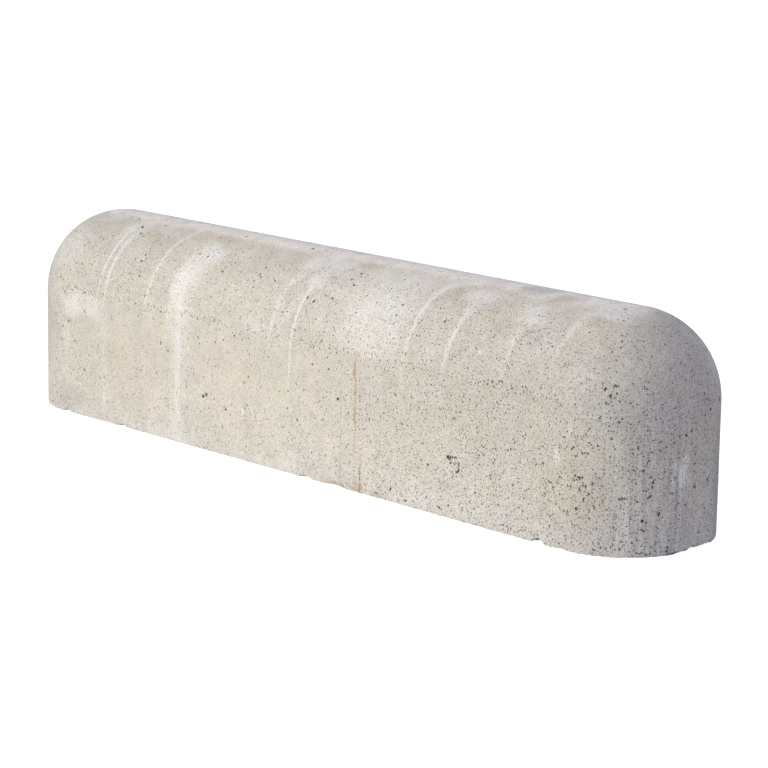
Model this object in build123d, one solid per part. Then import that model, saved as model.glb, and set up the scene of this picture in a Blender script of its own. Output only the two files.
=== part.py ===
"""Concrete kerb stone with a half-round crown and rounded ends, cast in one piece.

The stone is cast upside down in a steel mould, so its crown is smooth and its sides and
ends lean out a little towards the base, which is the open side of the mould. The base is
struck off with a board while the concrete is fresh, and that leaves a torn, chipped edge.

Millimetres. X runs along the stone, Y across it and Z up. The origin is the centre of the
base. The front side, towards -Y, is the one that carries most of the chips.
"""

from build123d import *
from math import radians, sqrt, tan
import os

# Overall size, measured at the base.
length = 1000.0
width = 200.0
height = 241.0

# Lean of the sides and ends that lets the stone slide out of its mould, in degrees.
mould_draft = 0.3

# Flat strip up the middle of each end, between its two rounded corners.
end_flat = 18.5

# Chips that the striking board tore out of the base edge. Each is given by where its
# middle lies along the edge, counted from the middle of the front side towards +X, by its
# length along the edge, and by how far it climbs up the side.
edge_chips = [
    (-402.0, 18.0, 3.0),
    (-295.0, 15.0, 3.5),
    (-6.0, 16.0, 1.2),
    (28.0, 22.0, 3.2),
    (75.0, 37.0, 2.7),
    (205.0, 20.0, 0.7),
    (378.0, 18.0, 5.4),
    (408.0, 14.0, 1.9),
    (546.0, 25.0, 1.8),
    (563.0, 22.0, 4.1),
    (581.0, 52.0, 2.7),
]

# How far a chip reaches in under the base, as a multiple of how far it climbs the side.
chip_reach = 2.6

# The crown is a half round as wide as the stone at the spring line, where it meets the
# leaning sides. Both the draft and the crown's radius decide how high that line is.
lean = tan(radians(mould_draft))
crown_radius = (width / 2 - height * lean) / (1 - lean)
spring_height = height - crown_radius
spring_inset = spring_height * lean
spring_length = length - 2 * spring_inset
corner_radius = crown_radius - end_flat / 2


def spring_outline():
    """The stone's outline from above at the spring line."""
    return RectangleRounded(spring_length, 2 * crown_radius, corner_radius)


def base_outline():
    """The outline at the base: the spring line's, made larger all round by the draft."""
    return RectangleRounded(length, width, corner_radius + spring_inset)


def crown():
    """The half-round top: half of the outline, turned about the stone's long axis."""
    half_outline = spring_outline() & Rectangle(
        spring_length, width, align=(Align.CENTER, Align.MIN)
    )
    turned = revolve(half_outline, axis=Axis.X, revolution_arc=180)
    return Pos(0, 0, spring_height) * turned


def skirt():
    """The straight part under the crown, which grows by the draft down to the base."""
    at_spring = Pos(0, 0, spring_height) * spring_outline()
    return loft([base_outline(), at_spring], ruled=True)


def edge_chip(edge, share, chip_length, climb):
    """A scoop, part of a ball, that is torn out of the corner of the base edge.

    The ball cuts the edge over the chip's length, the side up to its climb and the base in
    to its reach. These three fix the ball's radius and how far out and down its centre is.
    """
    half = chip_length / 2
    reach = chip_reach * climb
    out = (half**2 - reach**2) / (2 * reach)
    down = (half**2 - climb**2) / (2 * climb)
    outward = edge.tangent_at(share).cross(Vector(0, 0, 1))
    centre = edge.position_at(share) + outward * out - Vector(0, 0, down)
    return Pos(*centre) * Sphere(sqrt(half**2 + out**2 + down**2))


def kerb_stone():
    """The whole casting: skirt and crown as one solid, with the chips taken out."""
    stone = skirt() + crown()
    edge = base_outline().face().outer_wire()
    front_middle = edge.param_at_point((0, -width / 2, 0))
    for place, chip_length, climb in edge_chips:
        share = (front_middle + place / edge.length) % 1.0
        stone -= edge_chip(edge, share, chip_length, climb)
    return stone


stone = kerb_stone()
os.makedirs("parts", exist_ok=True)
export_step(stone, "parts/kerb_stone.step")
size = stone.bounding_box().size
print(f"crown radius {crown_radius:.2f}, spring line at {spring_height:.2f}")
print(f"size {size.X:.2f} x {size.Y:.2f} x {size.Z:.2f} mm, volume {stone.volume / 1e6:.3f} litres")
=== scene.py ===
# %% [markdown]
# # A concrete kerb stone
#
# The stone is one casting, poured upside down into a steel mould. Its crown and sides are
# smooth, with the small air holes that the mould traps. Its base is struck off by hand, and
# that leaves a worn and chipped edge. Weather has since drawn lime out of it in pale runs.
#
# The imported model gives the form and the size. This lesson builds the same form again as a
# mesh that is fine enough to carry the worn edge, the chips and the air holes, and then
# makes the concrete.

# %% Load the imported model
import math
import random
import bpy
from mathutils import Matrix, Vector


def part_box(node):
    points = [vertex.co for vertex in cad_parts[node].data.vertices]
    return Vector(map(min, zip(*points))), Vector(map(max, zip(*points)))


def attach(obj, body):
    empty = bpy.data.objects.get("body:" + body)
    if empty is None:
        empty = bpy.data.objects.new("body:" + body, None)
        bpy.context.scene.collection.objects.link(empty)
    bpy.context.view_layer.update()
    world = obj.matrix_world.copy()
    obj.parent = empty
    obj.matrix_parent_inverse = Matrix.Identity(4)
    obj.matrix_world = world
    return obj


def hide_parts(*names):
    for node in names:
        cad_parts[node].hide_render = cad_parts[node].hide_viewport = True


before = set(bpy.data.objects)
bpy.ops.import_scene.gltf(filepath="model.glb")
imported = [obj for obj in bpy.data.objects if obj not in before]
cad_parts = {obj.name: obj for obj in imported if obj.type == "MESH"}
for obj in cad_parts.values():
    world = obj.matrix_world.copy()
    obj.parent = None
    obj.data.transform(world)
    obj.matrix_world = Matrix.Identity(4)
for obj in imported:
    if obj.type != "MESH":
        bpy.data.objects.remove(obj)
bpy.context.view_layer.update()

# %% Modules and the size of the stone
from types import SimpleNamespace

import bmesh
import bpy
from mathutils import Matrix, Vector, noise
from mathutils.kdtree import KDTree

MM = 0.001

low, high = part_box("kerb_stone")
print("packed box", [round(v, 4) for v in (*low, *high)])

# %% [markdown]
# ## The section and the outline
#
# Seen from above, the stone is a long rectangle with well rounded corners, and a narrow flat
# strip is left up the middle of each end. Seen from the end, it is a half round that stands
# on two sides, and the sides lean out a little towards the base, so that the stone can slide
# out of its mould. The line where the crown meets the sides is the spring line.
#
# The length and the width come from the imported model. The height, the lean and the end strip
# are the stone's own, and the rest follows from these.

# %% Sizes
LENGTH = 2 * -low.x
WIDTH = high.y - low.y
HEIGHT = 241 * MM
LEAN = math.tan(math.radians(0.3))
END_FLAT = 18.5 * MM

CROWN_RADIUS = (WIDTH / 2 - HEIGHT * LEAN) / (1 - LEAN)
SPRING = HEIGHT - CROWN_RADIUS
CORNER_RADIUS = CROWN_RADIUS - END_FLAT / 2
CORNER_X = LENGTH / 2 - SPRING * LEAN - CORNER_RADIUS
CORNER_Y = END_FLAT / 2
BASE_RADIUS = CORNER_RADIUS + SPRING * LEAN
OVER = 2 * SPRING + math.pi * CROWN_RADIUS
print(f"crown radius {CROWN_RADIUS:.4f}, spring line {SPRING:.4f}, up and over {OVER:.4f}")

# %% [markdown]
# ## Onto the surface
#
# Every later step splits faces or pushes points about, so it helps to have one rule for each
# face of the stone that puts a point squarely back on it. On the sides that is a move in or
# out from the corner centres. The crown is the same outline turned up about the long axis.

# %% From a point to the surface
def on_outline(co, reach, z):
    """co moved squarely in or out until it lies reach out from the corner centres."""
    core = Vector((min(max(co.x, -CORNER_X), CORNER_X), min(max(co.y, -CORNER_Y), CORNER_Y), 0))
    outward = Vector((co.x - core.x, co.y - core.y, 0)).normalized()
    return core + outward * reach + Vector((0, 0, z))


def on_side(co, z):
    """co moved to height z on the leaning side."""
    return on_outline(co, CORNER_RADIUS + (SPRING - z) * LEAN, z)


def on_base(co, inset):
    """co moved to the base, inset from its edge."""
    return on_outline(co, BASE_RADIUS - inset, 0)


def on_crown(co):
    """co moved squarely onto the half-round top."""
    out = math.hypot(co.y, co.z - SPRING)
    flat = on_outline(Vector((co.x, out, 0)), CORNER_RADIUS, 0)
    share = flat.y / out if out else 0
    return Vector((flat.x, co.y * share, SPRING + (co.z - SPRING) * share))


def base_inset(co):
    """How far in from the base edge a point of the base lies."""
    core = Vector((min(max(co.x, -CORNER_X), CORNER_X), min(max(co.y, -CORNER_Y), CORNER_Y)))
    return BASE_RADIUS - (co.xy - core).length


# %% [markdown]
# ## Places taken with a tape
#
# What shows on the stone is placed by two running lengths, as a mason would tape it: along
# the stone from the middle of the front, round the end and on, and up the section from the
# base, over the crown and down the back. One function turns such a place into a point, and
# another reads the tape at a point, which gives the stone its UV map later.

# %% Along and up
def outline_place(along, radius):
    """The outline's point at a running length from the middle of the front, and which way is out."""
    hand = math.copysign(1, along)
    past = max(abs(along) - CORNER_X, 0)
    quarter = radius * math.pi / 2
    strip = min(max(past - quarter, 0), END_FLAT)
    turn = (past - strip) / radius
    outward = Vector((hand * math.sin(turn), -math.cos(turn), 0))
    core = Vector((hand * min(abs(along), CORNER_X), strip - CORNER_Y, 0))
    return core + outward * radius, outward


def place(along, up):
    """The point and the outward direction at a place on the front, the ends or the crown."""
    point, outward = outline_place(along, CORNER_RADIUS)
    if up < SPRING:
        return on_side(point, up), outward
    tilt = (up - SPRING) / CROWN_RADIUS
    lift = Matrix.Rotation(-tilt, 3, "X")
    return lift @ point + Vector((0, 0, SPRING)), lift @ outward


def tape(co, beside):
    """Along and up at a point of the surface. beside is a point of the same face, off any seam."""
    out = abs(co.y)
    up = co.z
    if co.z > SPRING:
        out = math.hypot(co.y, co.z - SPRING)
        lead = co if out > MM else beside
        up = SPRING + CROWN_RADIUS * math.atan2(lead.z - SPRING, -lead.y)
    elif beside.z < 0.1 * MM:
        up = -base_inset(co)
    elif beside.y > 0:
        up = OVER - co.z
    past = max(abs(co.x) - CORNER_X, 0)
    turn = math.atan2(past, max(out - CORNER_Y, 0)) if past else 0
    strip = max(CORNER_Y - out, 0) if past else 0
    along = min(abs(co.x), CORNER_X) + turn * CORNER_RADIUS + strip
    return math.copysign(along, co.x), up


for test in ((0, 300), (-430, 60), (500, 120), (470, 200)):
    point, outward = place(test[0] * MM, test[1] * MM)
    read = tape(point, point)
    print(test, "mm lies at", [round(v, 4) for v in point], "and reads", [round(v / MM, 1) for v in read])

# %% [markdown]
# ## The crown, spun
#
# The crown is a turned form: half of the outline, turned half a turn about the line that
# runs through the middle of both ends. So a chain of edges is drawn along that half outline,
# with spin for its two round corners too, and the chain is spun over the top.

# %% Half of the outline, then the spin
CELL = 5 * MM
# Points nearer to each other than this are one.
TOUCHING = 0.01 * MM


def cells(run):
    """How many cells of the mesh fit along a run."""
    return max(round(run / CELL), 1)


def draw_to(bm, tip, steps, move):
    """Extrudes the last point of a chain in equal steps and gives back the new last point."""
    for _ in range(steps):
        tip = bmesh.ops.extrude_vert_indiv(bm, verts=[tip])["verts"][0]
        tip.co += move / steps
    return tip


def round_corner(bm, tip, centre):
    """Spins the last point of a chain through a quarter turn and gives back the new last point."""
    spun = bmesh.ops.spin(bm, geom=[tip], cent=centre, axis=(0, 0, 1), angle=math.pi / 2,
                          steps=cells(CORNER_RADIUS * math.pi / 2))
    return next(part for part in spun["geom_last"] if isinstance(part, bmesh.types.BMVert))


def crown(bm):
    """The half-round top, as a shell that is open along the spring line."""
    tip = bm.verts.new((-CORNER_X - CORNER_RADIUS, 0, SPRING))
    tip = draw_to(bm, tip, 2, Vector((0, -CORNER_Y, 0)))
    tip = round_corner(bm, tip, (-CORNER_X, -CORNER_Y, SPRING))
    tip = draw_to(bm, tip, cells(2 * CORNER_X), Vector((2 * CORNER_X, 0, 0)))
    tip = round_corner(bm, tip, (CORNER_X, -CORNER_Y, SPRING))
    draw_to(bm, tip, 2, Vector((0, CORNER_Y, 0)))
    bmesh.ops.spin(bm, geom=bm.verts[:] + bm.edges[:], cent=(0, 0, SPRING), axis=(1, 0, 0),
                   angle=-math.pi, steps=cells(CROWN_RADIUS * math.pi))
    bmesh.ops.remove_doubles(bm, verts=bm.verts[:], dist=TOUCHING)


stone = bmesh.new()
crown(stone)
print("crown", len(stone.faces), "faces")

# %% [markdown]
# ## The sides and the base, drawn down ring by ring
#
# The crown's open edge is one closed ring. It is extruded down the sides a cell at a time,
# and each new ring is put on the leaning side. The worn edge needs far finer faces than the
# rest, so 14 mm above the base every edge of the ring is split in two, and the rings then
# come closer and closer together, round the edge and in under the base.

# %% Rings
FINE_BAND = 14 * MM
EDGE_ROWS = (11.5, 9.5, 7.5, 6, 4.7, 3.6, 2.6, 1.7, 0.8, 0)
UNDER_ROWS = (0.8, 1.7, 2.7, 4, 5.6, 7.5, 10, 14, 20, 28, 38, 50, 64, 80)


def open_ring(bm):
    return [edge for edge in bm.edges if edge.is_boundary]


def next_ring(bm, where):
    """Extrudes the open ring and puts each of its new points where the rule says."""
    made = bmesh.ops.extrude_edge_only(bm, edges=open_ring(bm))["geom"]
    for vert in made:
        if isinstance(vert, bmesh.types.BMVert):
            vert.co = where(vert.co)


def sides(bm):
    """The sides, from the spring line down to the base edge."""
    rows = cells(SPRING - FINE_BAND)
    for row in range(1, rows + 1):
        next_ring(bm, lambda co: on_side(co, SPRING - (SPRING - FINE_BAND) * row / rows))
    bmesh.ops.subdivide_edges(bm, edges=open_ring(bm), cuts=1)
    for height in EDGE_ROWS:
        next_ring(bm, lambda co: on_side(co, height * MM))


def base(bm):
    """The base, from its edge in to the middle strip, which is filled."""
    for inset in UNDER_ROWS:
        next_ring(bm, lambda co: on_base(co, inset * MM))
    bmesh.ops.holes_fill(bm, edges=open_ring(bm), sides=0)
    bmesh.ops.triangulate(bm, faces=[face for face in bm.faces if len(face.verts) > 4])


sides(stone)
base(stone)
bmesh.ops.remove_doubles(stone, verts=stone.verts[:], dist=TOUCHING)
bmesh.ops.recalc_face_normals(stone, faces=stone.faces[:])
print("whole shell", len(stone.faces), "faces,", len(open_ring(stone)), "open edges")

# %% [markdown]
# ## Where the surface is broken
#
# Three things break the smooth casting. The striking board tore chips out of the base edge.
# Air was trapped against the mould and left round holes, a few of them run together. And
# the whole edge is worn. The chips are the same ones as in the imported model, each given by
# its place along the edge, its length and how far it climbs the side, in millimetres.

# %% Chips in the base edge
EDGE_CHIPS = (
    (-402, 18, 3.0), (-295, 15, 3.5), (-6, 16, 1.2), (28, 22, 3.2), (75, 37, 2.7), (205, 20, 0.7),
    (378, 18, 5.4), (408, 14, 1.9), (546, 25, 1.8), (563, 22, 4.1), (581, 52, 2.7))
CHIP_REACH = 2.6


def chip_ball(along, length, climb):
    """Centre and radius of the ball whose surface is the floor of a chip."""
    half = length / 2
    reach = CHIP_REACH * climb
    out = (half**2 - reach**2) / (2 * reach)
    down = (half**2 - climb**2) / (2 * climb)
    edge, outward = outline_place(along, BASE_RADIUS)
    return edge + outward * out - Vector((0, 0, down)), math.hypot(half, out, down), climb


chip_balls = [chip_ball(*(size * MM for size in chip)) for chip in EDGE_CHIPS]
print(len(chip_balls), "chips, the widest ball", round(max(radius for _, radius, _ in chip_balls), 3), "m")

# %% Air holes
# Along, up and radius in millimetres, read off the stone from left to right.
HOLES_LEFT = (
    (-417, 167, 2), (-414, 17, 1.7), (-412, 90, 1.8), (-399, 114, 2.5), (-394, 116, 1.5), (-385, 92, 2),
    (-389, 55, 1.6), (-368, 58, 2), (-370, 276, 2.5), (-355, 275, 3), (-337, 53, 1.5), (-329, 55, 1.8),
    (-328, 47, 1.6), (-329, 258, 3.6), (-320, 246, 2.5), (-317, 287, 3), (-315, 130, 1.8), (-300, 270, 2.5),
    (-283, 206, 2.6), (-275, 188, 2.2), (-231, 77, 2), (-223, 115, 2.4), (-210, 107, 2.2), (-198, 233, 1.8),
    (-195, 267, 2), (-182, 231, 2), (-178, 289, 2.5), (-176, 264, 2.5), (-176, 70, 2.2), (-168, 283, 3),
    (-163, 89, 2), (-156, 132, 1.8))
HOLES_MIDDLE = (
    (-147, 64, 3.5), (-141, 66, 3), (-143, 215, 2), (-133, 230, 1.8), (-113, 34, 1.8), (-107, 55, 2.2),
    (-86, 211, 2), (-83, 221, 2), (-82, 232, 2.2), (-81, 198, 1.8), (-79, 218, 2.2), (-76, 91, 2.5),
    (-71, 18, 1.8), (-55, 284, 3), (-53, 234, 2.4), (-47, 236, 2), (-43, 30, 2), (-35, 287, 2.5),
    (-3, 75, 1.8), (8, 205, 3), (14, 64, 2.2), (20, 202, 2.8), (24, 101, 1.8), (33, 212, 1.8),
    (44, 210, 2.6), (52, 240, 2.6), (57, 252, 3), (61, 247, 2), (62, 232, 2), (79, 100, 3))
HOLES_RIGHT = (
    (142, 6, 2), (148, 220, 2.4), (151, 97, 2), (163, 14, 2.6), (168, 120, 1.8), (179, 90, 2),
    (186, 6, 2.8), (192, 122, 1.8), (217, 211, 2.6), (219, 53, 2.4), (237, 9, 2.6), (240, 118, 1.8),
    (248, 67, 3.2), (250, 65, 2.9), (252, 67, 2.3), (255, 67.5, 2.1), (258, 68, 2), (260, 68.5, 1.8),
    (252, 61.5, 1.7), (264, 63, 2), (264, 60.5, 1.9), (264, 55, 2.5), (262, 53, 2.6), (260, 53, 1.7),
    (270, 50, 1.8), (258, 45, 1.6), (238, 31, 1.7), (289, 36, 1.9), (310, 59, 1.6), (310, 56, 1.8),
    (327, 65, 1.9), (323, 61, 1.5), (322, 57, 1.7), (271, 16, 2), (288, 18, 1.8), (299, 26, 2),
    (251, 118, 1.4), (248, 120, 1.3), (258, 117, 1.5), (244, 109, 1.6), (256, 111, 1.6), (267, 130, 1.5),
    (290, 101, 2), (281, 112, 1.7), (284, 108, 1.4), (269, 91, 1.7), (277, 134, 1.8), (293, 77, 1.6),
    (296, 88, 1.4), (299, 87, 1.4), (313, 73, 1.6), (315, 77, 1.6), (316, 88, 1.7), (333, 90, 1.9),
    (337, 92, 1.9), (342, 100, 1.7), (340, 103, 1.5), (357, 111, 1.7), (354, 109, 1.5), (356, 107, 1.5),
    (296, 157, 1.6), (302, 155, 1.4), (307, 158, 1.8), (309, 154, 1.5), (320, 161, 1.5), (330, 153, 1.4),
    (336, 156, 1.7), (341, 152, 1.5), (354, 160, 1.8), (352, 155, 1.4), (374, 163, 1.6))
HOLES_CORNER = (
    (376, 100, 1.6), (386, 101, 1.7), (382, 86, 2), (403, 106, 1.5), (403, 102, 1.6), (387, 66, 1.7),
    (391, 68, 1.8), (394, 68, 1.9), (397, 64, 1.9), (403, 69, 2.2), (405, 76, 2), (407, 81, 1.4),
    (386, 55, 1.8), (386, 60, 1.4), (392, 57, 1.6), (416, 69, 1.8), (420, 69, 1.8), (421, 84, 1.6),
    (425, 81, 2.1), (428, 80, 1.7), (430, 80, 2.2), (433, 80, 2), (424, 76, 2.1), (427, 77, 1.7),
    (430, 78, 1.4), (437, 72, 2.5), (434, 72, 1.5), (444, 75, 2.3), (430, 67, 2), (430, 69, 1.6),
    (441, 64, 2.1), (435, 58, 2), (435, 56, 1.6), (432, 105, 1.9), (435, 106, 1.7), (438, 106, 1.9),
    (439, 132, 1.6), (437, 129, 1.2), (435, 126, 1.4), (433, 123, 1.3), (431, 120, 1.2), (421, 110, 1.6),
    (423, 121, 1.6), (439, 117, 1.9), (443, 112, 1.5), (448, 81, 1.5), (451, 82, 1.3), (427, 47, 2.4),
    (429, 49, 1.4), (417, 42, 1.8), (412, 42, 1.7), (407, 43, 1.4), (406, 58, 1.6), (410, 54, 1.5),
    (441, 48, 1.4), (446, 52, 1.6), (358, 44, 1.7), (364, 39, 1.4), (357, 30, 1.6), (418, 39, 1.5),
    (394, 32, 1.5), (400, 31, 1.4), (407, 35, 1.4), (431, 38, 1.4), (442, 39, 1.4), (405, 233, 1.8),
    (412, 283, 3), (415, 16, 1.8), (446, 182, 1.6), (447, 177, 1.4), (451, 178, 2.4), (450, 176, 2),
    (457, 170, 2.4), (454, 162, 2), (458, 182, 1.7), (460, 183, 1.8), (462, 184, 1.7), (467, 167, 1.6),
    (449, 144, 1.8), (450, 146, 1.5), (469, 141, 2), (466, 146, 1.5), (461, 160, 1.3), (457, 161, 1.3))
HOLES_END = (
    (472, 61.5, 2.1), (474.5, 62, 2.4), (477, 62, 2.1), (479.5, 62, 1.4), (490, 59, 2.1), (503, 64, 2.4),
    (501, 62, 1.7), (495, 91, 2.5), (485, 92, 1.9), (480, 91, 1.3), (507, 81, 1.9), (506, 78, 2.1),
    (505, 74, 1.8), (516, 81, 1.8), (504, 84, 1.5), (531, 81, 1.8), (547, 76, 1.8), (560, 67, 2.4),
    (583, 71, 2.8), (583, 67, 2), (576, 79, 1.6), (595, 99, 2.4), (560, 101, 1.8), (529, 117, 1.6),
    (504, 110, 1.9), (489, 116, 1.9), (489, 114, 1.5), (479, 118, 1.6), (472, 114, 1.7), (466, 113, 1.4),
    (514, 45, 2.4), (496, 39, 3), (500, 37, 1.9), (484, 41, 1.8), (495, 30, 1.7), (467, 31, 1.8),
    (491, 19, 1.8), (475, 17, 1.7), (474, 9, 2.1), (484, 7, 1.7), (491, 6, 1.6), (495, 5, 1.8),
    (507, 11, 1.7), (525, 9, 2.3), (524, 5, 2.1), (517, 9, 1.6), (527, 65, 2), (529, 66, 1.6),
    (500, 101, 1.7), (502, 101, 1.4), (495, 106, 1.5), (455, 10, 1.7), (460, 9, 1.8), (465, 11, 1.6),
    (467, 13, 1.4), (454, 18, 1.6), (447, 7, 1.6), (441, 12, 1.4), (545, 123, 2.2), (487, 195, 1.8),
    (490, 193, 1.8), (478, 167, 1.6))
# The dark that is seen reaches past the hole itself, so each radius is made smaller by this.
HOLE_CORE = 0.6

holes = []
for along, up, radius in HOLES_LEFT + HOLES_MIDDLE + HOLES_RIGHT + HOLES_CORNER + HOLES_END:
    holes.append((*place(along * MM, up * MM), radius * HOLE_CORE * MM))

# %% The air holes that don't show
# The back, the top and the left end have such holes too. These are strewn by chance.
OTHER_HOLES = 120
OTHER_SEED = 11
OTHER_ABOVE = 8 * MM
OTHER_BEHIND = 12 * MM
OTHER_BEYOND = -460 * MM
LEAST_OTHER, SPARE_OTHER = 0.8, 1.5


def unseen(co):
    """Whether a point lies on the back, the back of the top or the left end."""
    return co.z > OTHER_ABOVE and (co.y > OTHER_BEHIND or co.x < OTHER_BEYOND)


chance = random.Random(OTHER_SEED)
stone.normal_update()
for vert in chance.sample([vert for vert in stone.verts if unseen(vert.co)], OTHER_HOLES):
    radius = (LEAST_OTHER + SPARE_OTHER * chance.random() ** 2) * MM
    holes.append((vert.co.copy(), vert.normal.copy(), radius))
print(len(holes), "air holes")

# %% [markdown]
# ## Finer faces where they are needed
#
# Cells of 5 mm are enough for the plain surface, but not for a hole that is 3 mm across. So
# the edges round each hole are split in passes until they are about a third of its radius,
# and those in the chips until they are about 1 mm. The split points lie on straight edges,
# and the rules from above put them back on the curved surface.

# %% Split and settle
# A small hole can lie in the middle of a cell, out of reach of all its edges. They count as
# near when the hole is nearer than this share of their length.
ROUND_CELL = 0.6
# An edge is split when it is longer than the finest edge times this.
TOO_LONG = 1.4


def settle(vert):
    """Puts a point of the side or the crown squarely on the surface."""
    if vert.co.z > SPRING:
        vert.co = on_crown(vert.co)
    elif vert.co.z > 0:
        vert.co = on_side(vert.co, vert.co.z)


def finder(places):
    """A tree that finds which of the places lie near a point."""
    tree = KDTree(len(places))
    for index, co in enumerate(places):
        tree.insert(co, index)
    tree.balance()
    return tree


def split_near(bm, spots):
    """One pass over spots of centre, reach and finest edge. Gives back how many edges it split."""
    edges = bm.edges[:]
    tree = finder([(edge.verts[0].co + edge.verts[1].co) / 2 for edge in edges])
    chosen = set()
    for centre, reach, finest in spots:
        for _, index, away in tree.find_range(centre, reach + CELL / 2):
            edge = edges[index]
            length = edge.calc_length()
            gap = min(away, *((vert.co - centre).length for vert in edge.verts))
            if length > TOO_LONG * finest and gap < max(reach, ROUND_CELL * length):
                chosen.add(index)
    picked = [edges[index] for index in sorted(chosen)]
    made = bmesh.ops.subdivide_edges(bm, edges=picked, cuts=1, use_grid_fill=True)
    for part in made["geom_inner"]:
        if isinstance(part, bmesh.types.BMVert):
            settle(part)
    return len(chosen)


# %% The spots, and the passes over them
CHIP_QUARTERS = (-2, -1, 0, 1, 2)
CHIP_CELL = 1.1 * MM
HOLE_REACH = 1.25
CELLS_IN_RADIUS = 3
PASSES = 5


def chip_spots():
    """A row of spots along the edge at every chip."""
    for along, length, climb in EDGE_CHIPS:
        for quarter in CHIP_QUARTERS:
            edge, outward = outline_place((along + length * quarter / 4) * MM, BASE_RADIUS)
            yield edge - outward * climb * MM, (length / 5 + 1.5 * climb) * MM, CHIP_CELL


spots = list(chip_spots())
for centre, _, radius in holes:
    spots.append((centre, radius * HOLE_REACH, radius / CELLS_IN_RADIUS))
for _ in range(PASSES):
    print("split", split_near(stone, spots), "edges")
print("now", sum(len(face.verts) - 2 for face in stone.faces), "triangles")

# %% [markdown]
# ## The chips, the worn edge and the relief
#
# Each point inside a chip's ball is moved on into the stone, away from the corner of its own
# section, until it lies on the ball, which is how a scoop bites into an edge. Along the rest
# of the edge the corner has crumbled by half a millimetre or so, unevenly. The sides are
# never quite flat either, and the base, which no mould shaped, is the roughest. All of it
# goes inwards, so that the stone keeps its size.

# %% Torn and worn
EDGE_LOSS = 1.1 * MM
EDGE_WEAR_REACH = 2.2 * MM
SIDE_RELIEF = 0.28 * MM
BASE_RELIEF = 1.3 * MM
# How hollow each is in the middle of its range, then share, size and layers for each kind of lump.
EDGE_LUMPS = (0.28, (0.5, 5 * MM, 3), (0.35, 23 * MM, 2))
SIDE_LUMPS = (0.55, (0.45, 55 * MM, 2))
BASE_LUMPS = (0.5, (0.5, 9 * MM, 4))
TORN_LUMPS = 2.5 * MM
# The sides' waver goes on under the base this far in.
SIDE_TO = 20 * MM
# A chip is torn from a point this many climbs out from the edge and as many down.
TORN_FROM = 1.5
# The torn faces are rough in proportion to their depth, down to this depth.
TORN_DEEP = 1.5 * MM
TORN_ROUGH = 0.45
# The base is level at its edge and as rough as it gets this far in.
ROUGH_FROM = 6 * MM
# The depths at which the torn tone is at its full strength, and the strength of the worn edge's.
TORN_FULL, WORN_FULL = 0.8 * MM, 0.5 * MM
WORN_TONE = 0.6
# How far the worn edge goes up, as a share of how far it goes in.
WORN_UP = 0.9


def rough(co, size, layers):
    """Uneven values of about -1 to 1, with lumps of the given size."""
    return noise.fractal(co / size, 0.8, 2.1, layers, noise_basis="PERLIN_ORIGINAL")


def hollow(co, middle, *lumps):
    """Uneven values about a middle one."""
    for share, size, layers in lumps:
        middle += share * rough(co, size, layers)
    return middle


def bite(bm):
    """Moves the points inside each chip's ball on through the stone until they lie on it."""
    torn = bm.verts.layers.float.new("torn")
    for centre, radius, climb in chip_balls:
        for vert in bm.verts:
            off = vert.co - centre
            if off.length < radius:
                edge = on_base(vert.co, 0)
                outward = (edge - on_base(vert.co, 1)).normalized()
                start = edge + (outward - Vector((0, 0, 1))) * climb * TORN_FROM
                heading = (vert.co - start).normalized()
                ahead = off.dot(heading)
                depth = math.sqrt(ahead**2 + radius**2 - off.length_squared) - ahead
                tear = min(depth, TORN_DEEP) * TORN_ROUGH * rough(vert.co, TORN_LUMPS, 3)
                vert.co += heading * max(depth + tear, 0)
                vert[torn] = min(depth / TORN_FULL, 1)
    return torn


def wear(bm, torn):
    """Crumbles the base edge, lets the sides waver and roughens the base."""
    for vert in bm.verts:
        co = vert.co.copy()
        inset = base_inset(co) if co.z < FINE_BAND else 1
        if inset < SIDE_TO or co.z > 0:
            vert.co -= vert.normal * SIDE_RELIEF * hollow(co, *SIDE_LUMPS)
        if co.z <= 0:
            deep = BASE_RELIEF * max(hollow(co, *BASE_LUMPS), 0)
            vert.co.z += deep * min(max(inset, 0) / ROUGH_FROM, 1)
        away = math.hypot(co.z, max(inset, 0)) if inset < 1 else 1
        if away < 3 * EDGE_WEAR_REACH:
            loss = EDGE_LOSS * min(max(hollow(co, *EDGE_LUMPS), 0.02), 1)
            loss *= math.exp(-(away / EDGE_WEAR_REACH) ** 2)
            inward = on_base(co, 1) - on_base(co, 0)
            vert.co += inward.normalized() * loss + Vector((0, 0, loss * WORN_UP))
            vert[torn] = max(vert[torn], min(loss / WORN_FULL, 1) * WORN_TONE)


stone.normal_update()
torn = bite(stone)
wear(stone, torn)
heights = [vert.co.z for vert in stone.verts]
print("lowest", round(min(heights), 5), "highest", round(max(heights), 5))

# %% [markdown]
# ## The air holes
#
# An air bubble against the mould leaves the bottom of a bowl with a crisp rim. The points
# under each hole are pushed in by the depth of a bowl, and those nearest the rim are drawn
# onto it, so that it comes out clean. No bubble is a perfect circle, so the radius wavers
# round the rim.

# %% Bowls
# Points between these shares of the rim are drawn onto it. None is looked for beyond the last.
RIM_FROM, RIM_TO, HOLE_LOOK = 0.84, 1.16, 2.2
BOWL_DEPTH = 0.8
# The dark in a hole, partly dirt and partly painted shade, is deeper in a larger hole.
# It fades from just inside the rim to just outside it.
DARK_LEAST, DARK_PER_MM = 0.55, 0.2
DARK_TO, DARK_FADE = 1.14, 0.25
# How far each hole is drawn out, and how ragged its rim is.
DRAWN_OUT, DRAWN_MORE = 1.15, 0.35
RAGGED, RAGGED_PACE = 0.55, 1.2
SEED_STEP = 7.3


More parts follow.
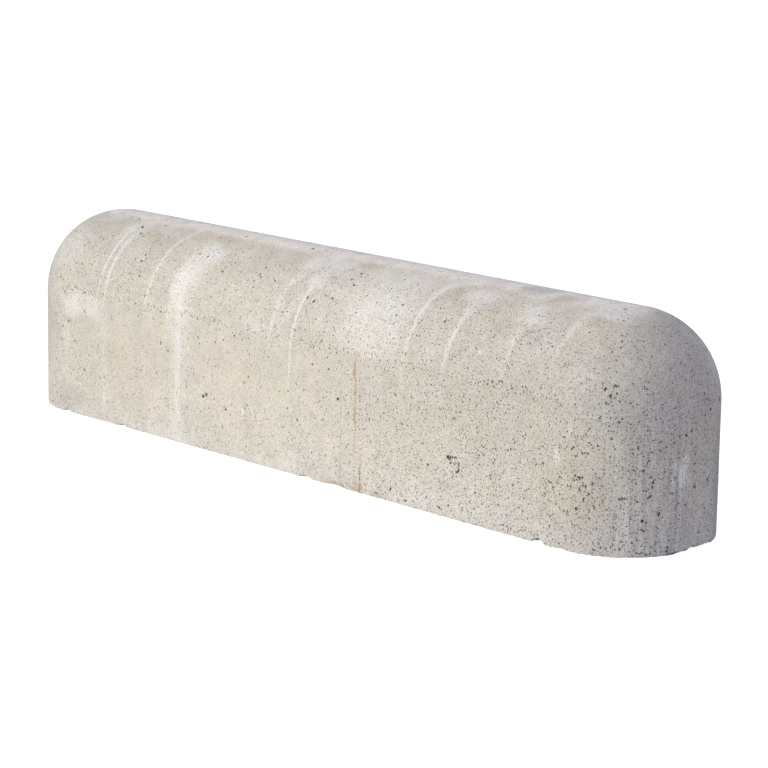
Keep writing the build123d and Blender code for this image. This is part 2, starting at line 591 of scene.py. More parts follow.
def share_of_rim(off, level, across, radius, seed):
    """How far out a point lies, as a share of the rim in its direction. Holes are drawn out a little."""
    wide = DRAWN_OUT + DRAWN_MORE * noise.noise(Vector((seed, 0.5, 0)))
    lean = math.pi * noise.noise(Vector((0.5, seed, 0))) * 2
    ahead, aside = off.dot(level), off.dot(across)
    first = (ahead * math.cos(lean) + aside * math.sin(lean)) / wide
    second = (aside * math.cos(lean) - ahead * math.sin(lean)) * wide
    turn = math.atan2(second, first)
    round_rim = Vector((math.cos(turn) * RAGGED_PACE, math.sin(turn) * RAGGED_PACE, seed))
    return math.hypot(first, second) / (radius * (1 + RAGGED * noise.noise(round_rim)))


def sink_holes(bm):
    """Pushes a bowl into the surface at every hole."""
    pit = bm.verts.layers.float.new("pit")
    verts = bm.verts[:]
    tree = finder([vert.co for vert in verts])
    for number, (centre, outward, radius) in enumerate(holes):
        centre = centre - outward * SIDE_RELIEF / 2
        level = outward.orthogonal().normalized()
        across = outward.cross(level)
        for _, index, _ in tree.find_range(centre, radius * HOLE_LOOK):
            vert = verts[index]
            off = vert.co - centre
            off -= outward * off.dot(outward)
            share = share_of_rim(off, level, across, radius, number * SEED_STEP)
            if RIM_FROM < share < RIM_TO:
                vert.co += off * (1 / share - 1)
            elif share < RIM_FROM:
                vert.co -= outward * radius * BOWL_DEPTH * math.sqrt(1 - share**2)
            if share < RIM_TO:
                dark = min(DARK_LEAST + DARK_PER_MM * radius / MM, 1)
                dark *= min(max((DARK_TO - share) / DARK_FADE, 0), 1)
                vert[pit] = max(vert[pit], dark)
    return pit


stone.normal_update()
pit = sink_holes(stone)
print(sum(vert[pit] > 0.5 for vert in stone.verts), "points lie in a hole")

# %% [markdown]
# ## From the working mesh to the piece
#
# The tape's two readings become the UV map, so a mark in the material can be put where it
# is on the stone. Faces are shaded smooth, and an edge is left sharp where its faces meet
# at a steep angle, as they do at a rim or a torn edge.

# %% The finished mesh
SHARP = math.radians(38)
FACING_DOWN = -0.7


def write_tape(bm):
    """Writes along and up, in metres, as the UV map."""
    layer = bm.loops.layers.uv.new("tape")
    for face in bm.faces:
        beside = face.calc_center_median()
        if face.normal.z < FACING_DOWN:
            beside.z = 0
        for loop in face.loops:
            loop[layer].uv = tape(loop.vert.co, beside)


def shade_smooth(bm):
    """Shades the faces smooth, but for the steep edges."""
    for edge in bm.edges:
        edge.smooth = edge.calc_face_angle(0) < SHARP
    for face in bm.faces:
        face.smooth = True


def add(name, data):
    """Puts a new object into the scene."""
    made = bpy.data.objects.new(name, data)
    bpy.context.scene.collection.objects.link(made)
    return made


def add_mesh(name, bm):
    """Puts the working mesh into the scene, at the origin."""
    mesh = bpy.data.meshes.new(name)
    bm.to_mesh(mesh)
    bm.free()
    return add(name, mesh)


stone.normal_update()
write_tape(stone)
shade_smooth(stone)
casting = add_mesh("kerb_casting", stone)
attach(casting, "root")
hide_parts("kerb_stone")
print(casting.name, len(casting.data.polygons), "faces")

# %% [markdown]
# ## Small helpers for materials
#
# A material here is a long chain of small sums. Each helper below places one kind of node,
# feeds it and gives back its output, so that the chain can be written down as it is thought.
# An output knows which node tree it belongs to, so few of them have to be told.

# %% One node at a time
def node(tree, kind, **settings):
    """Places a node and gives it its settings."""
    made = tree.nodes.new(kind)
    for name, value in settings.items():
        setattr(made, name, value)
    return made


def feed(socket, value):
    """Links an output to a socket, or sets a plain value on it."""
    if isinstance(value, bpy.types.NodeSocket):
        socket.id_data.links.new(value, socket)
    else:
        socket.default_value = value


def step(kind, *values, **settings):
    """Places a node, feeds its sockets in their order and gives back its first output."""
    tree = next(value.id_data for value in values if isinstance(value, bpy.types.NodeSocket))
    made = node(tree, kind, **settings)
    for socket, value in zip(made.inputs, values):
        feed(socket, value)
    return made.outputs[0]


def named(tree, kind, **values):
    """Places a node, feeds its sockets by name and gives back its outputs."""
    made = node(tree, kind)
    for name, value in values.items():
        feed(made.inputs[name], value)
    return made.outputs


# %% Sums
def sum_of(operation, *values, clamp=False):
    """One step of arithmetic."""
    return step("ShaderNodeMath", *values, operation=operation, use_clamp=clamp)


def joined_by(operation):
    """A helper that joins values by one kind of sum, two at a time."""
    def joined(first, *others):
        for other in others:
            first = sum_of(operation, first, other)
        return first
    return joined


plus, minus, times, over, most = map(joined_by, ("ADD", "SUBTRACT", "MULTIPLY", "DIVIDE", "MAXIMUM"))


def times_plus(value, by, more):
    """The value times one number, plus another."""
    return sum_of("MULTIPLY_ADD", value, by, more)


def fade(value, start, end, low=0.0, high=1.0):
    """Runs smoothly from low to high while the value goes from start to end."""
    return step("ShaderNodeMapRange", value, start, end, low, high, interpolation_type="SMOOTHSTEP")


# %% Vectors, colours and clouds
def scaled(vector, by):
    """A place, or a colour, times a number."""
    made = node(vector.id_data, "ShaderNodeVectorMath", operation="SCALE")
    feed(made.inputs[0], vector)
    feed(made.inputs["Scale"], by)
    return made.outputs[0]


def split(vector):
    """The three parts of a vector."""
    return named(vector.id_data, "ShaderNodeSeparateXYZ", Vector=vector)


def blend(share, first, second):
    """Goes from the first colour to the second by a share."""
    made = node(share.id_data, "ShaderNodeMix", data_type="RGBA")
    for index, given in ((0, share), (6, first), (7, second)):
        feed(made.inputs[index], given)
    return made.outputs[2]


def noisy(where, **values):
    """The outputs of a noise texture."""
    return named(where.id_data, "ShaderNodeTexNoise", Vector=where, **values)


def cloud(where, size, detail, roughness, stretch=(1, 1, 1)):
    """An uneven value of about 0 to 1, with lumps of the given size."""
    shares = [1 / (size * s) for s in stretch]
    spot = step("ShaderNodeVectorMath", where, shares, operation="MULTIPLY")
    return noisy(spot, Scale=1, Detail=detail, Roughness=roughness)["Fac"]


def tones(value, stops):
    """Runs through a row of colours, each given with the value at which it is pure."""
    made = node(value.id_data, "ShaderNodeValToRGB")
    last = stops[-1][0]
    feed(made.inputs[0], over(value, last))
    ramp = made.color_ramp.elements
    while len(ramp) < len(stops):
        ramp.new(0.5)
    for stop, (at, colour) in zip(ramp, stops):
        stop.position = at / last
        stop.color = colour
    return made.outputs["Color"]


def paint(red, green, blue):
    """A colour as it is read off a picture, from 0 to 255, turned into the renderer's own values."""
    shares = (value / 255 for value in (red, green, blue))
    return (*(s / 12.92 if s <= 0.04045 else ((s + 0.055) / 1.055) ** 2.4 for s in shares), 1)


# %% Groups
def new_group(name, inputs):
    """An empty node group that puts out a mask. Gives back the tree, its inputs and its end socket."""
    tree = bpy.data.node_groups.new(name, "ShaderNodeTree")
    for label in inputs:
        kind = "NodeSocketVector" if label == "where" else "NodeSocketFloat"
        tree.interface.new_socket(label, in_out="INPUT", socket_type=kind)
    tree.interface.new_socket("mask", in_out="OUTPUT", socket_type="NodeSocketFloat")
    given = SimpleNamespace(**dict(zip(inputs, node(tree, "NodeGroupInput").outputs)))
    return tree, given, node(tree, "NodeGroupOutput").inputs[0]


def use(group, beside, **values):
    """Places a group in the tree that beside belongs to, feeds it by name and gives back its mask."""
    made = node(beside.id_data, "ShaderNodeGroup", node_tree=group)
    for name, value in values.items():
        feed(made.inputs[name], value)
    return made.outputs[0]


# %% [markdown]
# ## Lime runs and patches
#
# Rain draws lime out of young concrete. It gathers on the crown, where a run fans out and is
# faint, and dries in pale lines that narrow a little down the face and fade away. A run is
# worked out from the tape. How far a point is from the run's slanting middle line, against
# the width at that height, gives the run's strength there. A patch is an oval with a torn
# edge. The dark joints that the mould leaves are runs too.

# %% The group for a run
# All but the shares are in millimetres.
CREST = 42
WANDER = 2.4
FOOT_NARROW = 0.7
RUN_EDGE = (0.2, 1, 1, 0)
CREST_FAINT = (0, 1, 1, 0.75)
FOOT_FADE = 150
HEAD_RAGGED = 24
HEAD_FADE = 30
RUN_NAMES = ("at", "foot", "head", "slant", "width", "fan", "drift", "strength")


def lime_run_group():
    tree, given, end = new_group("lime run", ("along", "up", "waver", *RUN_NAMES))
    rise = minus(given.up, given.foot)
    crest = fade(given.up, minus(given.head, CREST), given.head)
    middle = times_plus(rise, given.slant, given.at)
    middle = times_plus(crest, given.drift, middle)
    wander = times_plus(given.waver, WANDER, -WANDER / 2)
    off = minus(plus(given.along, wander), middle)
    narrowed = fade(given.up, given.foot, given.head, FOOT_NARROW, 1)
    spread = times(given.width, narrowed)
    spread = times_plus(crest, given.fan, spread)
    core = fade(over(sum_of("ABSOLUTE", off), spread), *RUN_EDGE)
    faint = fade(crest, *CREST_FAINT)
    foot = fade(given.up, given.foot, plus(given.foot, FOOT_FADE))
    worn = times_plus(given.waver, HEAD_RAGGED, given.up)
    head = fade(worn, given.head, plus(given.head, HEAD_FADE), 1, 0)
    feed(end, times(core, faint, foot, head, given.strength))
    return tree


lime_run = lime_run_group()

# %% The group for a patch
PATCH_RAGGED = 1.3
PATCH_EDGE = (1.0, 1.75, 1, 0)
PATCH_NAMES = ("at", "height", "half_along", "half_up", "strength")


def patch_group():
    tree, given, end = new_group("patch", ("along", "up", "waver", *PATCH_NAMES))
    aside = over(minus(given.along, given.at), given.half_along)
    above = over(minus(given.up, given.height), given.half_up)
    reach = sum_of("SQRT", plus(times(aside, aside), times(above, above)))
    reach = times_plus(given.waver, PATCH_RAGGED, reach)
    feed(end, times(fade(reach, *PATCH_EDGE), given.strength))
    return tree


patch = patch_group()
print([group.name for group in bpy.data.node_groups])

# %% [markdown]
# ## Specks
#
# Besides the larger air holes, the face is sown with pinholes and dark grains of sand, from
# half a millimetre to about three across. Points strewn through the whole stone give them:
# wherever the surface passes close enough to a point, it shows a speck.

# %% The group for specks
SPECK_EDGE = (0.7, 1.05, 1, 0)
NO_SIZE = 0.001


def speck_group():
    tree, given, end = new_group("specks", ("where", "spacing", "least", "most", "share"))
    spot = scaled(given.where, over(1, given.spacing))
    points = named(tree, "ShaderNodeTexVoronoi", Vector=spot, Scale=1)
    chances = named(tree, "ShaderNodeSeparateColor", Color=points["Color"])
    spare = minus(given.most, given.least)
    size = times(chances[0], chances[0])
    size = times_plus(size, spare, given.least)
    size = times(size, sum_of("LESS_THAN", chances[1], given.share))
    off = times(points["Distance"], given.spacing)
    reach = over(off, most(size, NO_SIZE))
    feed(end, fade(reach, *SPECK_EDGE))
    return tree


specks = speck_group()

# %% [markdown]
# ## Where the lime, the stains and the rust are
#
# All of these are read off the stone with the tape, in millimetres.

# %% The marks
# At, foot, head, slant, width, fan, drift and strength.
LIME_RUNS = (
    (174, 60, 272, 0.03, 5.5, 8, 8, 0.5), (229, 62, 250, 0.06, 5.2, 15, 4, 0.5),
    (-7, 5, 245, 0.055, 4, 16, 3, 0.52), (-41, 70, 245, 0.07, 4.5, 11, 9, 0.42),
    (-332, 70, 262, 0.03, 4.2, 8, 1, 0.6), (-347, 50, 262, 0.045, 3.4, 8, -2, 0.6),
    (-260, 70, 274, 0.075, 4.6, 6, 6, 0.46), (313, 60, 246, 0.045, 4.6, 14, 0, 0.3),
    (376, 130, 262, 0.06, 6, 10, 4, 0.42), (-196, -150, 230, 0.012, 11, 16, 4, 0.62),
    (-204, 0, 235, 0.02, 4, 8, 0, 0.3), (-186, 60, 240, 0.03, 12, 14, 4, 0.35),
    (-329, -100, 130, 0, 10, 2, 0, 0.26), (-176, 70, 230, 0.02, 4, 6, 0, 0.3))
# At, height, half along, half up and strength, in this table and the next five.
LIME_PATCHES = (
    (-390, 137, 24, 20, 0.66), (-372, 142, 50, 15, 0.45), (-352, 140, 20, 20, 0.5),
    (-403, 102, 10, 26, 0.3), (-200, 196, 20, 44, 0.62), (-182, 234, 32, 26, 0.55),
    (-195, 150, 26, 54, 0.45), (-196, 4, 26, 30, 0.5), (-15, 250, 30, 16, 0.4), (5, 262, 40, 20, 0.4),
    (8, 235, 26, 24, 0.3), (322, 240, 23, 20, 0.5), (240, 252, 26, 20, 0.35), (408, 270, 32, 18, 0.4),
    (-334, 252, 24, 28, 0.4), (-65, 160, 20, 12, 0.15), (280, 18, 80, 12, 0.14), (200, 12, 54, 16, 0.28),
    (-220, 8, 62, 12, 0.3), (0, 8, 32, 12, 0.3), (-60, 8, 60, 10, 0.2), (-78, 57, 4, 5, 0.8),
    (282, 186, 3, 3, 0.6), (472, 32, 24, 34, 0.24), (-425, 205, 40, 48, 0.3))
SCUFFS = (
    (546, 98, 7, 6, 0.8), (545, 91, 6, 5, 0.7), (541, 82, 7, 16, 0.9), (547, 77, 5, 7, 0.7),
    (529, 74, 3, 10, 0.6), (532, 93, 4, 7, 0.5), (401, 96, 5, 12, 0.6), (417, 128, 3, 8, 0.6))
# These stop short at the spring line.
CROWN_BLOOM = (
    (119, 200, 64, 74, 0.43), (88, 232, 40, 44, 0.28), (134, 250, 46, 26, 0.3), (148, 180, 32, 54, 0.26))
BROWN_STAINS = (
    (55, 270, 26, 11, 0.7), (200, 250, 18, 16, 0.5), (-310, 255, 34, 20, 0.5), (-220, 264, 74, 16, 0.5),
    (400, 250, 20, 12, 0.6), (-90, 256, 70, 20, 0.3), (300, 150, 130, 9, 0.35), (-85, 30, 90, 44, 0.2),
    (332, 281, 16, 18, 1), (100, 25, 24, 45, 0.25), (-270, 240, 50, 30, 0.3), (300, 225, 50, 22, 0.3),
    (415, 60, 60, 62, 0.4), (-300, 50, 90, 70, 0.25))
GREY_STAINS = (
    (287, 292, 30, 22, 1), (-400, 20, 40, 26, 0.5), (-60, 296, 50, 14, 0.3), (5, 303, 18, 12, 0.6),
    (430, 15, 50, 25, 0.2), (504, 535, 24, 90, 0.9), (540, 40, 60, 50, 0.2))
RUST_MARKS = (
    (105, 138, 3.2, 16, 1), (106, 88, 3.2, 20, 0.8), (106, 112, 3, 24, 0.6), (106, 60, 2.6, 34, 0.4),
    (75, 2, 26, 6, 0.7), (112, 5, 12, 12, 0.6), (142, 3, 12, 5, 0.5))
# At, foot, head, slant, width, fan, drift and strength of the dark joints of the mould.
FORM_SEAMS = (
    (115.5, -150, 40, 0, 1.3, 0, 0, 0.9), (84, -120, 125, 0, 1.1, 0, 0, 0.4),
    (113, 0, 150, 0, 1, 0, 0, 0.3), (483, -120, 120, 0, 1, 0, 0, 0.3), (505, -120, 100, 0, 1, 0, 0, 0.3),
    (515, -120, 60, 0, 1, 0, 0, 0.3))
# The back is not seen, but rain falls on it too. It gets the same runs, turned end for end and shifted.
BACK_SHIFT = 60
print(len(LIME_RUNS), "runs,", len(LIME_PATCHES) + len(BROWN_STAINS) + len(GREY_STAINS), "patches")

# %% [markdown]
# ## The concrete
#
# The tone changes up the section, partly because rain does not treat it evenly. It is pale with
# splashed lime at the foot and warm and a little yellower up to the spring line. Over the shoulder
# it is browner, partly from damp and partly as painted shade, and on top it is lighter, partly
# washed clean and partly as painted light. All of it is mottled, and fine sand shows through as
# grain. A bump from the same grain catches the light.

# %% The tones
# Each goes with the height up the section, in millimetres, at which it is pure.
# The dark stops over the shoulder are partly painted shade, and the light ones on top partly painted light.
SECTION_TONES = (
    (0, paint(217, 212, 203)), (45, paint(215, 208, 195)), (110, paint(205, 198, 184)),
    (150, paint(202, 195, 183)), (168, paint(197, 190, 178)), (205, paint(197, 190, 178)),
    (245, paint(194, 187, 173)), (268, paint(206, 198, 184)), (282, paint(231, 224, 209)),
    (298, paint(236, 229, 217)))
CEMENT_PINK = paint(211, 202, 195)
CEMENT_YELLOW = paint(211, 204, 184)
CEMENT_GREY = paint(203, 200, 191)
LIME = paint(229, 226, 220)
SCUFFED = paint(246, 240, 230)
STAIN_BROWN = paint(176, 162, 138)
STAIN_GREY = paint(165, 163, 160)
RUST = paint(176, 142, 97)
SPECK_DARK = paint(92, 86, 78)
SPECK_BROWN = paint(132, 112, 84)
# The dark in the air holes: partly dirt, partly painted shade.
HOLE_DIRT_AND_SHADE = paint(60, 54, 47)
# Paler than the cement, partly as fresh broken concrete is and partly as painted light that lifts the shade
# in the chips.
TORN_TONE = paint(224, 219, 209)
# Painted shade: the torn faces round the end, and a thin line along the base edge there, go towards this
# dark where the underside lies in shade.
TORN_PAINTED_SHADE = paint(104, 97, 93)

# %% [markdown]
# Every step of the finish reads the same few things at a point: what the tape reads there,
# the place itself, the height up the section, six clouds that make everything uneven, how
# torn the surface is and how far in a hole the point lies.

# %% What is read at a point
# Size of the lumps in millimetres, detail and roughness.
CLOUDS = {"broad": (120, 4, 0.6), "drifts": (42, 3, 0.55), "mottle": (22, 4, 0.62),
          "waver": (9, 4, 0.6), "dust": (4.2, 3, 0.6), "grain": (1.8, 2, 0.7)}


def readings(tree):
    """All of it, in millimetres. either is the tape with the back read as the front."""
    read = split(node(tree, "ShaderNodeUVMap", uv_map="tape").outputs[0])
    along, up = times(read[0], 1 / MM), times(read[1], 1 / MM)
    where = scaled(node(tree, "ShaderNodeTexCoord").outputs["Object"], 1 / MM)
    level = split(where)[2]
    climb = minus(level, SPRING / MM)
    climb = sum_of("DIVIDE", climb, CROWN_RADIUS / MM, clamp=True)
    climb = times(sum_of("ARCSINE", climb), CROWN_RADIUS / MM)
    height = plus(sum_of("MINIMUM", level, SPRING / MM), climb)
    back = sum_of("GREATER_THAN", up, OVER / MM / 2)
    turned = times_plus(along, -2, BACK_SHIFT)
    either = (times_plus(back, turned, along), sum_of("MINIMUM", up, minus(OVER / MM, up)))
    at = SimpleNamespace(along=along, up=up, tape=(along, up), either=either, where=where, height=height)
    for name, lumps in CLOUDS.items():
        setattr(at, name, cloud(where, *lumps))
    for name in ("torn", "pit"):
        setattr(at, name, node(tree, "ShaderNodeAttribute", attribute_name=name).outputs["Fac"])
    return at


# %% Bare cement
TONE_WAVER = 26
# Which cloud, where the tone starts and where it is strongest, its most, and the tone.
CEMENT_DRIFTS = (("broad", 0.5, 0.25, 0.4, CEMENT_GREY), ("drifts", 0.5, 0.68, 0.45, CEMENT_PINK),
                 ("drifts", 0.48, 0.3, 0.4, CEMENT_YELLOW))


def cement(at):
    """The tones up the section, drifting between greyer, pinker and yellower."""
    uneven = minus(at.mottle, 0.5)
    body = tones(times_plus(uneven, TONE_WAVER, at.height), SECTION_TONES)
    for name, start, end, share, tone in CEMENT_DRIFTS:
        body = blend(fade(vars(at)[name], start, end, 0, share), body, tone)
    return body


# %% Stains, lime, scuffs and rust
BLOOM_RAGGED = 20
BLOOM_EDGE = (164, 182)
STAIN_STRENGTH = 0.5
RUST_STRENGTH = 0.62


def marks(group, names, table, read, waver):
    """The strongest of a table of marks at each point."""
    masks = []
    for row in table:
        placed = dict(zip(names, row))
        masks.append(use(group, waver, along=read[0], up=read[1], waver=waver, **placed))
    return most(*masks)


def patches(table, read, waver):
    """The strongest of a table of patches at each point."""
    return marks(patch, PATCH_NAMES, table, read, waver)


def weathered(at, body):
    """The body with all its marks. Also gives back the runs, and the runs with the patches."""
    runs = marks(lime_run, RUN_NAMES, LIME_RUNS, at.either, at.waver)
    bloom = patches(CROWN_BLOOM, at.tape, at.mottle)
    edge = times_plus(plus(at.waver, at.mottle), BLOOM_RAGGED, at.up)
    bloom = times(bloom, fade(edge, *BLOOM_EDGE))
    lime = most(runs, patches(LIME_PATCHES, at.either, at.waver), bloom)
    brown = times(patches(BROWN_STAINS, at.either, at.waver), STAIN_STRENGTH)
    grey = times(patches(GREY_STAINS, at.tape, at.waver), STAIN_STRENGTH)
    scuffs = patches(SCUFFS, at.tape, at.grain)
    rust = times(patches(RUST_MARKS, at.tape, at.dust), RUST_STRENGTH)
    for share, tone in ((brown, STAIN_BROWN), (grey, STAIN_GREY), (lime, LIME), (scuffs, SCUFFED),
                        (rust, RUST)):
        body = blend(share, body, tone)
    return body, runs, lime


# %% [markdown]
# The specks lie thickest low on the right, thinner on the crown and thinnest on top, in
# clumps. Near the foot of the right half there are more of the coarse ones. Their cells are
# bent a little, so that none is a perfect disk.

# %% How thickly the specks are sown
# Along from, along to, and the share at each.
FACE_SHARE = (10, 250, 0.44, 0.86)
CROWN_SHARE = (-100, 250, 0.31, 0.42)
FOOT_SHARE = (150, 220, 0.4, 0.8)
# From one height to another.
FOOT_TO_FACE = (12, 26)
FACE_TO_CROWN = (130, 175)
CROWN_TO_TOP = (235, 265)
TOP_SHARE = 0.25
CLUMPS_WIDE = (0.35, 0.65, 0.6, 1.1)
CLUMPS_CLOSE = (0.38, 0.62, 0, 0.7)
COARSE_SHARE = (150, 190, 0.34, 0.23)
TINY_MORE = 0.15
TINY_STRENGTH = 0.55
# Spacing, least and most radius.
TINY, SMALL, COARSE = (1.9, 0.25, 0.55), (2.5, 0.4, 0.95), (6.5, 0.75, 1.55)
BEND_SCALE = 0.4
BEND = 2.4
# How much the lime of a run hides of what lies under it.
UNDER_LIME = (0.2, 0.7, 1, 0.6)


def sown_specks(at, runs):
    """How strongly a speck shows at each point."""
    face, crown = fade(at.along, *FACE_SHARE), fade(at.along, *CROWN_SHARE)
    sown = fade(at.height, *FACE_TO_CROWN, face, crown)
    sown = times(sown, fade(at.height, *CROWN_TO_TOP, 1, TOP_SHARE))
    clumps = plus(fade(at.drifts, *CLUMPS_WIDE), fade(at.waver, *CLUMPS_CLOSE))
    sown = times(sown, clumps)
    foot = fade(at.height, *FOOT_TO_FACE, fade(at.along, *FOOT_SHARE), 0)
    coarse = times_plus(sown, fade(at.height, *COARSE_SHARE), foot)
    warp = noisy(at.where, Scale=BEND_SCALE, Detail=1)["Color"]
    bent = step("ShaderNodeVectorMath", warp, (BEND,) * 3, at.where, operation="MULTIPLY_ADD")
    sizes = ((at.where, TINY, plus(sown, TINY_MORE)), (bent, SMALL, sown), (bent, COARSE, coarse))
    masks = []
    for where, (spacing, least, largest), share in sizes:
        size = {"spacing": spacing, "least": least, "most": largest}
        masks.append(use(specks, where, where=where, share=share, **size))
    dotted = most(times(masks[0], TINY_STRENGTH), *masks[1:])
    return times(dotted, fade(runs, *UNDER_LIME))


# %% Specks and seams
SPECK_STRENGTH = 0.9
SPECK_TONES = (0.5, 0.65)
SEAM_BREAKS = (0.35, 0.65)


def speckled(at, body, dotted):
    """The body with the specks and the dark joints of the mould."""
    tone = blend(fade(at.waver, *SPECK_TONES), SPECK_DARK, SPECK_BROWN)
    body = blend(times(dotted, SPECK_STRENGTH), body, tone)
    seams = marks(lime_run, RUN_NAMES, FORM_SEAMS, at.tape, at.dust)
    return blend(times(seams, fade(at.dust, *SEAM_BREAKS)), body, SPECK_DARK)


# %% Grain
# The grain is stronger to the right, on the shoulder and on the end, and weaker on top.
SANDY_RIGHT = (100, 420, 1.05, 1.3)
SANDY_SHOULDER = (130, 200, 1.05, 1.3)
SANDY_TOP = 0.65
SANDY_END = (450, 530, 0, 0.4)
SAND_UNDER_LIME = (0.2, 0.7, 1, 0.5)
# From one value of the cloud to another, and how much darker and lighter.
GRAIN_SHADE = (0.25, 0.75, -0.17, 0.15)
DUST_SHADE = (0.25, 0.75, -0.05, 0.05)
MOTTLE_SHADE = (0.25, 0.75, -0.06, 0.06)
DRAWN_SHADE = (0.3, 0.7, -0.14, 0.14)
# Upright streaks that the mould drew on the right end, low down.
DRAWN_LUMPS = (4.5, 3, 0.65, (1, 1, 14))
DRAWN_ALONG = (425, 475)
DRAWN_UP = (90, 190, 1, 0)


def sanded(at, body, runs):
    """The body, darker and lighter by the grain, the mottle and the streaks."""
    sandy = most(fade(at.along, *SANDY_RIGHT), fade(at.height, *SANDY_SHOULDER))
    sandy = times(sandy, fade(at.height, *CROWN_TO_TOP, 1, SANDY_TOP))
    sandy = plus(sandy, fade(at.along, *SANDY_END))
    sandy = times(sandy, fade(runs, *SAND_UNDER_LIME))
    drawn = fade(cloud(at.where, *DRAWN_LUMPS), *DRAWN_SHADE)
    ringed = times(fade(at.along, *DRAWN_ALONG), fade(at.up, *DRAWN_UP))
    shade = plus(times(fade(at.grain, *GRAIN_SHADE), sandy), fade(at.dust, *DUST_SHADE),
                 fade(at.mottle, *MOTTLE_SHADE), times(drawn, ringed), 1)
    return scaled(body, shade)


# %% Torn faces, the painted shade under the end and the holes
TORN_STRENGTH = 0.8
ROUND_THE_END = (512, 532)
RIM_RAGGED = 11
RIM_WIDTH = (1.4, 3.2, 1, 0)
RIM_ALONG = (512, 535)
RIM_STRENGTH = 0.85
HOLE_STRENGTH = 0.95


def broken(at, body):
    """The body with its torn edge, painted shade under the end, and holes dark with dirt and painted shade.
    """
    # Round the end the torn faces are darkened: painted shade.
    tone = blend(fade(at.along, *ROUND_THE_END), TORN_TONE, TORN_PAINTED_SHADE)
    body = blend(times(at.torn, TORN_STRENGTH), body, tone)
    # A thin dark line along the base edge round the end: painted shade.
    ragged = times_plus(minus(at.waver, 0.5), RIM_RAGGED, at.either[1])
    rim = times(fade(ragged, *RIM_WIDTH), fade(at.along, *RIM_ALONG))
    body = blend(times(rim, RIM_STRENGTH), body, TORN_PAINTED_SHADE)
    return blend(times(at.pit, HOLE_STRENGTH), body, HOLE_DIRT_AND_SHADE)


# %% The whole finish
ROUGH_BARE, ROUGH_LIME = 0.92, 0.8
GLOSS = 0.35
GRAIN_DEPTH = 0.2
SPECK_DEPTH = 0.8


def concrete():
    """The material of the stone."""
    material = bpy.data.materials.new("weathered_concrete")
    material.use_nodes = True
    tree = material.node_tree
    shader = tree.nodes["Principled BSDF"].inputs
    at = readings(tree)
    body, runs, lime = weathered(at, cement(at))
    dotted = sown_specks(at, runs)
    body = sanded(at, speckled(at, body, dotted), runs)
    feed(shader["Base Color"], broken(at, body))
    feed(shader["Roughness"], fade(lime, 0, 1, ROUGH_BARE, ROUGH_LIME))
    shader["Specular IOR Level"].default_value = GLOSS
    height = times_plus(at.grain, GRAIN_DEPTH, times(at.dust, GRAIN_DEPTH))
    height = times_plus(dotted, -SPECK_DEPTH, height)
    relief = named(tree, "ShaderNodeBump", Strength=1, Distance=MM, Height=height)
    feed(shader["Normal"], relief[0])
    print(material.name, "has", len(tree.nodes), "nodes")
    return material


casting.data.materials.append(concrete())

# %% [markdown]
# ## Floor, light and camera
#
# The stone lies in a plain white studio. One large soft lamp stands to the left of the front
# and a little above, warm as daylight is, and the world fills the rest with a cooler light,
# weaker from the back right. The floor is an even grey to the lamps. Only the camera, and
# what mirrors or glass send on to it, is shown a whiter floor and a white background. The
# floor still keeps the stone's shadow.

# %% Studio floor
FLOOR_SPAN = 40
FLOOR_COLOUR = (0.55, 0.55, 0.55, 1)
FLOOR_SHOWN = 0.88


def seen(tree):
    """1 where a ray comes from the camera, straight or by a mirror or glass, and else 0."""
    ray = node(tree, "ShaderNodeLightPath").outputs
    return most(ray["Is Camera Ray"], ray["Is Glossy Ray"], ray["Is Transmission Ray"])


def floor_material():
    """A grey floor that looks white to the camera where nothing shades it."""
    material = bpy.data.materials.new("studio_floor")
    material.use_nodes = True
    tree = material.node_tree
    tree.nodes.clear()
    grey = named(tree, "ShaderNodeBsdfDiffuse", Color=FLOOR_COLOUR)[0]
    dark = named(tree, "ShaderNodeEmission", Strength=0)[0]
    shown = named(tree, "ShaderNodeEmission", Strength=FLOOR_SHOWN)[0]
    added = step("ShaderNodeMixShader", seen(tree), dark, shown)
    total = step("ShaderNodeAddShader", grey, added)
    named(tree, "ShaderNodeOutputMaterial", Surface=total)
    return material


def studio_floor():
    """A wide flat floor under the stone."""
    bm = bmesh.new()
    bmesh.ops.create_grid(bm, x_segments=1, y_segments=1, size=FLOOR_SPAN / 2)
    floor = add_mesh("studio_floor", bm)
    floor.data.materials.append(floor_material())


studio_floor()

# %% Lamp and world
MIDDLE = Vector((0, 0, HEIGHT / 2))
KEY_PLACE = Vector((-0.12, -1.2, 0.66))
KEY_SIZE = 0.85
KEY_POWER = 11.0
KEY_COLOUR = (1.0, 0.965, 0.8)
FILL_COLOUR = (0.77, 0.8, 1.0, 1)
FILL_STRENGTH = 0.8
SHADY_WAY = Vector((0.35, 0.94, 0))
SHADY_SHARE = 0.6


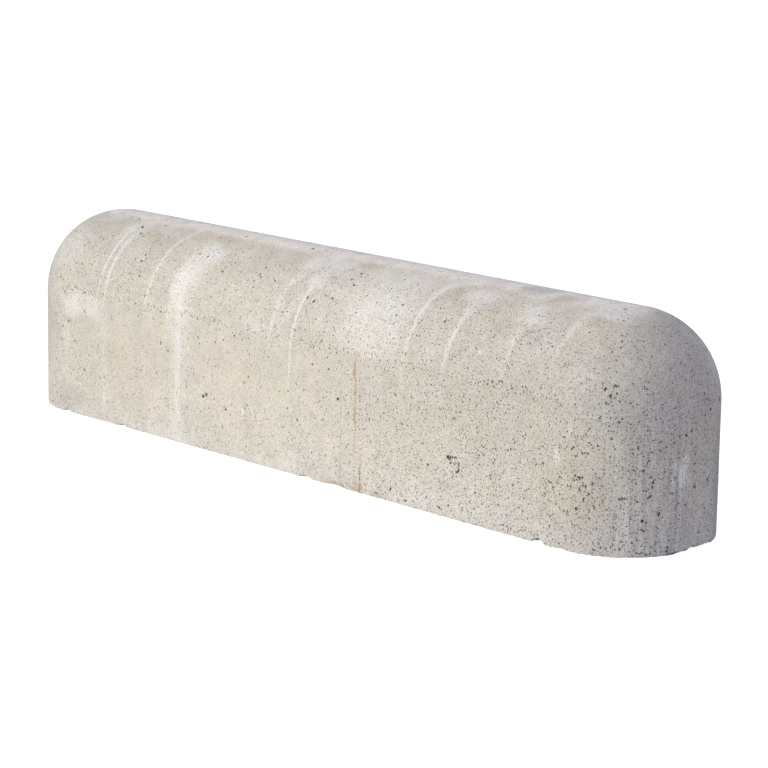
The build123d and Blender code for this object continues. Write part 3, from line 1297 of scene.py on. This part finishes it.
def key_lamp():
    """The soft lamp, turned to the middle of the stone."""
    lamp = bpy.data.lights.new("key", "AREA")
    lamp.shape = "DISK"
    lamp.size = KEY_SIZE
    lamp.energy = KEY_POWER
    lamp.color = KEY_COLOUR
    key = add("key", lamp)
    key.location = KEY_PLACE
    key.rotation_euler = (MIDDLE - KEY_PLACE).to_track_quat("-Z", "Y").to_euler()


def studio_world():
    """Cool light from all round, with a plain white background for the camera."""
    world = bpy.data.worlds.new("studio")
    bpy.context.scene.world = world
    world.use_nodes = True
    tree = world.node_tree
    tree.nodes.clear()
    way = node(tree, "ShaderNodeTexCoord").outputs["Generated"]
    turned = node(tree, "ShaderNodeVectorMath", operation="DOT_PRODUCT")
    feed(turned.inputs[0], way)
    feed(turned.inputs[1], SHADY_WAY)
    strength = step("ShaderNodeMapRange", turned.outputs["Value"], 0, 1, FILL_STRENGTH,
                    FILL_STRENGTH * SHADY_SHARE)
    fill = named(tree, "ShaderNodeBackground", Color=FILL_COLOUR, Strength=strength)[0]
    white = named(tree, "ShaderNodeBackground", Color=(1, 1, 1, 1))[0]
    named(tree, "ShaderNodeOutputWorld", Surface=step("ShaderNodeMixShader", seen(tree), fill, white))


key_lamp()
studio_world()
bpy.context.scene.view_settings.view_transform = "Standard"

# %% [markdown]
# The camera stands to the right of the front and looks down a little along the stone, from
# nearly three metres off, through a long lens.

# %% Camera
CAMERA_PLACE = Vector((2.0957, -2.0375, 0.7477))
CAMERA_TURN = 0.78723
CAMERA_DIP = 0.22157
CAMERA_ROLL = 0.01611
CAMERA_LENS = 122.45


def camera():
    """The camera, turned about the upright, dipped and then rolled."""
    lens = bpy.data.cameras.new("camera")
    lens.sensor_width = 36
    lens.lens = CAMERA_LENS
    view = add("camera", lens)
    turn = Matrix.Rotation(CAMERA_TURN, 4, "Z")
    dip = Matrix.Rotation(math.pi / 2 - CAMERA_DIP, 4, "X")
    roll = Matrix.Rotation(CAMERA_ROLL, 4, "Z")
    view.matrix_world = Matrix.Translation(CAMERA_PLACE) @ turn @ dip @ roll
    bpy.context.scene.camera = view
    print("camera stands", round((CAMERA_PLACE - MIDDLE).length, 2), "m from the stone")


camera()

# %% [markdown]
